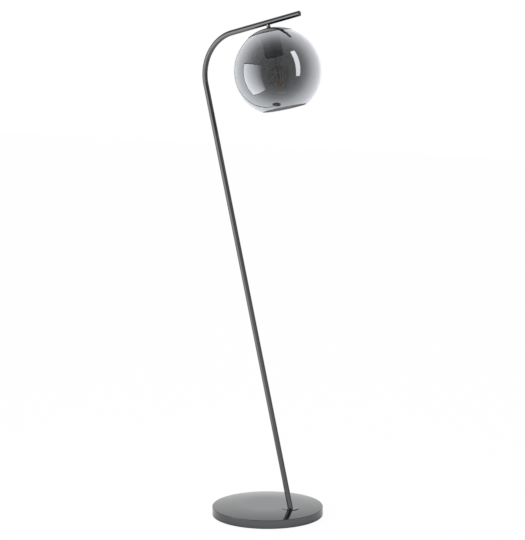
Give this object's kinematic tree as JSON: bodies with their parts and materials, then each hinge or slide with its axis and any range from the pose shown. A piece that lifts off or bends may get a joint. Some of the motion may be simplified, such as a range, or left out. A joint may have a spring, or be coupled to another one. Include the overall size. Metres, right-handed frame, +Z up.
{
  "type": "globe floor lamp",
  "caption": "Floor lamp with a leaning bent tube on a heavy round base and a smoked mirror glass globe, open below, hung under its arm.",
  "frame": {"origin": "centre of the round base on the floor", "axes": "+Z up; the tube lies in the XZ plane, its foot and its arm's free end on the +X side"},
  "size_m": [0.3955, 0.33, 1.4897],
  "materials": {
    "black_nickel": "polished black nickel plate",
    "smoke_mirror_glass": "blown glass with a smoked half-mirror coating",
    "clear_glass": "clear",
    "black_glass": "black insulating glass",
    "amber_phosphor": "yellow phosphor coating on the filament sticks",
    "support_wire": "bright wire",
    "nickel_cap": "nickel-plated brass",
    "solder": "tinned",
    "brass": "machined",
    "zinc_plate": "zinc plated",
    "cast_iron": "primed black",
    "porcelain": "unglazed",
    "dark_plastic": "moulded",
    "dark_plastic_lead": "sheath",
    "white_plastic": "moulded",
    "black_rubber": "moulded",
    "felt": "pressed felt"
  },
  "bodies": {
    "lamp": {"foot_pad": "felt", "bottom_plate": "zinc_plate", "bottom_plate_screws": "zinc_plate", "base_weight": "cast_iron", "base_cover": "black_nickel", "cable_bushing": "black_rubber", "cord_grip": "dark_plastic", "cord_grip_screws": "zinc_plate", "terminal_block": "white_plastic", "terminal_block_tubes": "brass", "terminal_block_screws": "zinc_plate", "terminal_block_fixing": "zinc_plate", "post_rosette": "black_nickel", "foot_plug": "zinc_plate", "foot_washer": "zinc_plate", "foot_nut": "zinc_plate", "post_tube": "black_nickel", "arm_end_plug": "black_nickel", "stem_insert": "zinc_plate", "stem_nipple": "zinc_plate", "stem_spacer": "black_nickel", "globe_cap": "black_nickel", "cap_gasket": "black_rubber", "glass_globe": "smoke_mirror_glass", "cup_gasket": "black_rubber", "holder_cup": "black_nickel", "clamp_washer": "zinc_plate", "clamp_nut": "zinc_plate", "holder_dome": "dark_plastic", "dome_nut": "zinc_plate", "holder_skirt": "dark_plastic", "holder_insert": "porcelain", "holder_terminal_screws": "brass", "holder_thread_shell": "brass", "holder_centre_contact": "brass", "inner_lead": "dark_plastic_lead"},
    "bulb_travel": {"bulb_contact_button": "solder"},
    "bulb": {"bulb_cap": "nickel_cap", "bulb_insulator": "black_glass", "bulb_glass": "clear_glass", "bulb_stem": "clear_glass", "bulb_filaments": "amber_phosphor", "bulb_support_wires": "support_wire"}
  },
  "joints": [
    {"name": "bulb_advance", "type": "slide", "parent": "lamp", "child": "bulb_travel", "axis": [0.2351, 0, -0.972], "range_m": [0, 0.0083]},
    {"name": "bulb_turn", "type": "hinge", "parent": "bulb_travel", "child": "bulb", "pos_m": [0.03354, 0, 1.31674], "axis": [0.2351, 0, -0.972], "range_deg": [0, 830]}
  ],
  "couplings": [
    {"joint": "bulb_turn", "follows": "bulb_advance", "rad_per_m": 1745.3}
  ]
}
